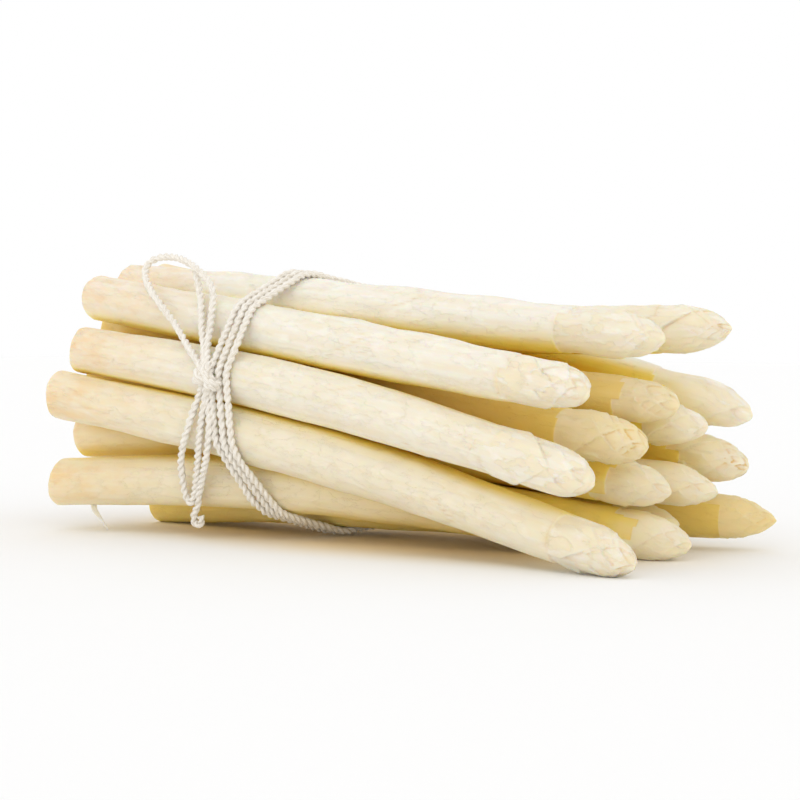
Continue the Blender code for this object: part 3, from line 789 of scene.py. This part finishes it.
def asparagus_material():
    g = Graph("asparagus_skin")
    shade, crack, butt = g.split("ShaderNodeSeparateColor", g.read("tone", "Color"))
    head = g.read("tone", "Alpha")
    cut, tint, olive = g.split("ShaderNodeSeparateXYZ", g.read("extra", "Vector"))
    skin = g.read("skin", "Vector")
    streaks = g.noise(skin, (16, 420, 420), 4.0)
    fibres = g.noise(skin, (60, 2100, 2100), 3.0)
    clouds = g.noise(skin, (60, 110, 110), 4.0, 0.55)
    veils = g.noise(skin, (130, 300, 300), 4.0, 0.55)
    stains = g.noise(skin, (110, 240, 240), 5.0, 0.6)
    flakes = g.ramp(g.noise(skin, (90, 210, 210), 6.0, 0.62), 0.485, 0.515)
    color = g.mix(g.ramp(streaks, 0.36, 0.68, 0.0, 0.8), IVORY, CREAM)
    color = g.mix(g.ramp(clouds, 0.52, 0.74, 0.0, 0.7), color, CREAM)
    color = g.mix(g.times(head, g.ramp(tint, 0.0, 1.0, 0.95, 0.15)), color, HEAD_IVORY)
    color = g.mix(g.ramp(veils, 0.50, 0.68, 0.0, 0.60), color, PALE)
    color = g.mix(g.times(flakes, g.ramp(head, 0.0, 1.0, 0.03, 0.55)), color, HEAD_CREAM)
    color = g.mix(g.times(butt, g.ramp(stains, 0.35, 0.70, 0.30, 1.0)), color, TAN)
    # Ochre edge lines: partly split skin, partly painted shade under the scale edges and the peel step
    color = g.mix(g.times(crack, g.ramp(stains, 0.32, 0.58, 0.25, 1.0)), color, CRACK_AND_EDGE_SHADE)
    # Painted shade: the skin turns ochre and brown where the other spears hide the sky, less on the
    # heads
    painted_shade = g.times(shade, g.ramp(head, 0.0, 1.0, 1.0, 0.74))
    color = g.mix(g.ramp(painted_shade, 0.25, 0.60, 0.0, 0.9), color, HALF_SHADE)
    color = g.mix(g.ramp(painted_shade, 0.50, 0.92, 0.0, 0.97), color, SHADE)
    color = g.mix(g.ramp(painted_shade, 0.92, 1.0, 0.0, 0.75), color, DEEP_SHADE)
    color = g.mix(g.times(olive, g.ramp(head, 0.0, 1.0, 0.95, 0.35)), color, OLIVE)
    face = g.mix(g.ramp(g.dots(skin, (0.0, 900, 900)), 0.20, 0.45, 1.0, 0.0), CUT, CUT_DOTS)
    g.set("Base Color", g.mix(cut, color, face))
    g.set("Roughness", g.ramp(clouds, 0.3, 0.7, 0.38, 0.52))
    g.set("Normal", g.bump(flakes, 0.00012, g.bump(fibres, 0.00004, g.bump(streaks, 0.00025))))
    g.set("Subsurface Weight", 0.55)
    g.set("Subsurface Radius", (1.0, 0.66, 0.26))
    g.set("Subsurface Scale", 0.0045)
    g.set("Specular IOR Level", 0.45)
    g.set("IOR", 1.40)
    return g.material


FLAX_LIGHT = (0.960, 0.920, 0.845)
FLAX_DARK = (0.800, 0.725, 0.610)
FLAX_FLECK = (0.480, 0.370, 0.240)


def twine_material():
    g = Graph("twine_flax")
    skin = g.read("skin", "Vector")
    strands = g.noise(skin, (420, 3000, 3000), 3.0, 0.6)
    flecks = g.noise(skin, (260, 800, 800), 4.0, 0.65)
    slow = g.noise(skin, (40, 60, 60), 2.0)
    color = g.mix(g.ramp(strands, 0.34, 0.60), FLAX_DARK, FLAX_LIGHT)
    color = g.mix(g.ramp(flecks, 0.63, 0.76, 0.0, 0.6), color, FLAX_FLECK)
    color = g.mix(g.ramp(slow, 0.35, 0.65, 0.0, 0.45), color, FLAX_LIGHT)
    g.set("Base Color", color)
    g.set("Roughness", 0.85)
    g.set("Specular IOR Level", 0.25)
    g.set("Sheen Weight", 0.25)
    g.set("Sheen Roughness", 0.5)
    g.set("Normal", g.bump(strands, 0.00010))
    return g.material


def tied_point(degrees, offset, lift):
    """Where the twine lies on the outermost spear in this direction round the bundle."""
    angle = radians(degrees)
    outwards = np.array((-cos(angle), sin(angle)))
    x = RING_X + LAYOUT_SHIFT[0]
    point = None
    for _ in range(4):
        reach = []
        for spear in spears:
            centre = spear.centre(x)
            radius = float(spear.radius(x)) + TWINE_GAP + TWINE_DIAMETER / 2 + lift
            reach.append((float(centre[1:] @ outwards) + radius, centre, radius))
        _, centre, radius = max(reach, key=lambda item: item[0])
        point = centre[1:] + radius * outwards
        rise = point[1] - TIE_LEVEL
        lean = TIE_LEAN_HIGH if rise > 0 else TIE_LEAN_LOW
        x = TIE_X + LAYOUT_SHIFT[0] + TIE_LEAN_Y * (point[0] - LAYOUT_SHIFT[1]) + lean * rise + offset
    return np.array((x, point[0], point[1]))


def turns_route():
    """Three turns from the knot over the top, each beside the last, the last one back across them."""
    route = []
    swept_all = TURNS * 360 - 2 * KNOT_HALF_DEGREES
    for swept in KNOT_HALF_DEGREES + np.linspace(0, swept_all, TURN_POINTS):
        turn, within = divmod(swept, 360)
        degrees = within + KNOT_DEGREES
        across = float(smooth_step(*CROSSING, degrees))
        offset = TURN_PITCH * (turn + across)
        lift = 0.0
        if turn == TURNS - 1:
            offset = TURN_PITCH * (TURNS - 1) * (1 - across)
            lift = smooth_step(*CROSSING_RISE, degrees) - smooth_step(*CROSSING_FALL, degrees)
        route.append(tied_point(degrees, offset, CROSSING_LIFT * float(lift)))
    return route


def wrap_route(centre, axis):
    """One wrap of the knot: a little more than a full turn, each turn beside the last."""
    first = np.cross(axis, (0.0, 0.0, 1.0))
    first /= np.linalg.norm(first)
    second = np.cross(axis, first)
    second /= np.linalg.norm(second)
    along = np.array(axis) / np.linalg.norm(axis)
    route = []
    for k in range(int(WRAP_POINTS * WRAP_TURNS)):
        turn = 2 * pi * k / WRAP_POINTS
        shift = WRAP_WIDTH * (k / (WRAP_POINTS * WRAP_TURNS) - 0.5)
        outwards = cos(turn) * first + sin(turn) * second
        route.append(LAYOUT_SHIFT + centre + shift * along + WRAP_RADIUS * outwards)
    return route


def smooth_route(points, parts):
    """Points of a smooth curve through the route's own points, with an even number between them."""
    route = [np.array(point, dtype=float) for point in points]
    route = [2 * route[0] - route[1]] + route + [2 * route[-1] - route[-2]]
    smooth = []
    for before, start, end, after in zip(route, route[1:], route[2:], route[3:]):
        for k in range(parts):
            t = k / parts
            bend = 2 * before - 5 * start + 4 * end - after
            twist = 3 * start - before - 3 * end + after
            smooth.append(start + 0.5 * ((end - before) * t + bend * t ** 2 + twist * t ** 3))
    smooth.append(route[-2])
    return np.array(smooth)


def even_points(route, step):
    """The same line with its points a fixed step apart, and its length."""
    lengths = np.linalg.norm(np.diff(route, axis=0), axis=1)
    along = np.concatenate(((0,), np.cumsum(lengths)))
    wanted = np.arange(0, along[-1], step)
    return np.stack([np.interp(wanted, along, route[:, k]) for k in range(3)], axis=1), along[-1]


def twine_route():
    """The whole twine, from its short end, round the spears, through the bows to its long end."""
    own_parts = (SHORT_END, UPPER_LOOP, LOWER_LOOP, LONG_END)
    short_end, upper_loop, lower_loop, long_end = (
        [LAYOUT_SHIFT + point for point in part] for part in own_parts)
    first_wrap, second_wrap = (wrap_route(*wrap) for wrap in WRAPS)
    turns = turns_route()
    before = smooth_route(short_end + first_wrap + turns[:2], ROUTE_PARTS)
    after = smooth_route(turns[-2:] + second_wrap + upper_loop + lower_loop + long_end, ROUTE_PARTS)
    return np.concatenate((before, turns[2:-2], after))


def frames_along(line):
    """Two directions across the line that follow it without twisting."""
    tangent = np.gradient(line, axis=0)
    tangent /= np.linalg.norm(tangent, axis=1)[:, None]
    side = np.cross(tangent[0], (0.0, 0.0, 1.0))
    sides = []
    for direction in tangent:
        side = side - direction * (side @ direction)
        side = side / np.linalg.norm(side)
        sides.append(side)
    sides = np.array(sides)
    return sides, np.cross(tangent, sides)


def ply_rings(line, first, second, ply):
    """One ply of the twine: it winds round the line, and is itself spun from strands."""
    along = np.arange(len(line)) * PLY_STEP
    phase = 2 * pi * along / PLY_PITCH
    for amount, pace in TWIST_WAVES:
        phase = phase + amount * np.sin(along * pace)
    phase = phase + ply * pi
    amount, pace, slow_pace = SPREAD_WAVE
    spread = PLY_OFFSET * (1 + amount * np.sin(along * pace) * np.sin(along * slow_pace))
    middle = line + spread[:, None] * (np.cos(phase)[:, None] * first + np.sin(phase)[:, None] * second)
    around = np.linspace(0, 2 * pi, PLY_SIDES, endpoint=False)[None, :]
    spun = around + 2 * pi * along[:, None] / STRAND_PITCH
    (amount, pace), (fine_amount, fine_pace) = PLY_WAVES
    waves = amount * np.sin(along * pace + ply) + fine_amount * np.sin(along * fine_pace)
    size = PLY_RADIUS * (1 + waves)[:, None] * (1 + STRAND_DEPTH * np.cos(STRANDS * spun))
    angle = phase[:, None] + around
    outwards = np.cos(angle)[..., None] * first[:, None] + np.sin(angle)[..., None] * second[:, None]
    rings = middle[:, None] + size[..., None] * outwards
    along_skin = along[:, None] + ply * PLY_SHIFT + 0 * around
    skin = np.stack((along_skin, size * np.cos(spun), size * np.sin(spun)), axis=-1)
    return rings, np.zeros((*angle.shape, 4)), np.zeros((*angle.shape, 3)), skin


def add_hairs(shape, line, first, second):
    """Short loose hairs that stand out of the twine."""
    rng = np.random.default_rng(HAIR_SEED)
    for _ in range(HAIRS):
        k = int(rng.integers(6, len(line) - 10))
        turn = rng.uniform(0, 2 * pi)
        outwards = cos(turn) * first[k] + sin(turn) * second[k]
        ahead = line[k + 4] - line[k - 4]
        ahead = ahead / np.linalg.norm(ahead) * rng.choice((-1, 1))
        t = np.linspace(0, 1, HAIR_POINTS)[:, None]
        hair = line[k] + outwards * (HAIR_START + rng.uniform(*HAIR_RISE) * t)
        hair = hair + ahead * rng.uniform(*HAIR_LENGTH) * t + rng.normal(0, HAIR_BEND, 3) * t ** 2
        spokes = []
        for side in range(3):
            angle = 2 * pi * side / 3
            spoke = cos(angle) * first[k] + sin(angle) * second[k]
            spokes.append(hair + HAIR_RADIUS * (1 - 0.7 * t) * spoke)
        rings = np.stack(spokes, axis=1)
        rings[..., 2] = np.maximum(rings[..., 2], HAIR_HEIGHT)
        shape.add(*plain_facts(rings))


def twine_piece(material):
    line, length = even_points(twine_route(), PLY_STEP)
    for _ in range(SMOOTHINGS):
        line[1:-1] = 0.25 * line[:-2] + 0.5 * line[1:-1] + 0.25 * line[2:]
    first, second = frames_along(line)
    shape = Shape()
    for ply in range(2):
        shape.add(*ply_rings(line, first, second, ply))
    add_hairs(shape, line, first, second)
    made = shape.object("twine_tied", material)
    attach(made, "root")
    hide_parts("twine")


def floor():
    """A pale table that reaches past the view on all sides."""
    mesh = bpy.data.meshes.new("floor")
    corners = [(x * FLOOR_HALF, y * FLOOR_HALF, 0.0) for x, y in ((-1, -1), (1, -1), (1, 1), (-1, 1))]
    mesh.from_pydata(corners, [], [(0, 1, 2, 3)])
    g = Graph("floor_pale")
    place = g.add("ShaderNodeTexCoord").outputs["Object"]
    grain = g.noise(place, (30, 30, 30), 2.0)
    color = g.mix(grain, FLOOR_PALE, FLOOR_PALER)
    # Painted shadow: the warm tint in an oval under the bundle
    length = g.add("ShaderNodeVectorMath", operation="LENGTH")
    g.put(length.inputs[0], g.stretched(place, FLOOR_PAINTED_SHADOW_AREA))
    painted_shadow = g.ramp(length.outputs["Value"], *FLOOR_PAINTED_SHADOW_FADE, 1.0, 0.0)
    g.set("Base Color", g.mix(painted_shadow, color, FLOOR_PAINTED_SHADOW))
    g.set("Roughness", 0.9)
    g.set("Specular IOR Level", 0.1)
    mesh.materials.append(g.material)
    made = bpy.data.objects.new("floor", mesh)
    bpy.context.scene.collection.objects.link(made)


def place_camera():
    data = bpy.data.cameras.new("camera")
    data.lens = CAMERA_LENS
    data.sensor_width = CAMERA_SENSOR
    data.clip_start = 0.01
    data.clip_end = 20
    made = bpy.data.objects.new("camera", data)
    azimuth, elevation = radians(CAMERA_AZIMUTH), radians(CAMERA_ELEVATION)
    back = Vector((sin(azimuth) * cos(elevation), -cos(azimuth) * cos(elevation), sin(elevation)))
    made.location = Vector(CAMERA_TARGET) + back * CAMERA_DISTANCE
    made.rotation_euler = back.to_track_quat("Z", "Y").to_euler()
    bpy.context.scene.collection.objects.link(made)
    bpy.context.scene.camera = made


def studio():
    world = bpy.data.worlds.new("studio")
    world.use_nodes = True
    background = world.node_tree.nodes["Background"]
    background.inputs["Color"].default_value = (1.0, 1.0, 1.0, 1.0)
    background.inputs["Strength"].default_value = SKY_STRENGTH
    bpy.context.scene.world = world
    for strength, place, spread in SUNS:
        data = bpy.data.lights.new("sun", "SUN")
        data.energy = strength
        data.angle = radians(spread)
        made = bpy.data.objects.new("sun", data)
        made.rotation_euler = Vector(place).to_track_quat("Z", "Y").to_euler()
        bpy.context.scene.collection.objects.link(made)
    bpy.context.scene.view_settings.view_transform = "Standard"


place_camera()
twine_piece(twine_material())
skin_material = asparagus_material()
for spear in spears:
    spear_piece(spear, skin_material)
floor()
studio()
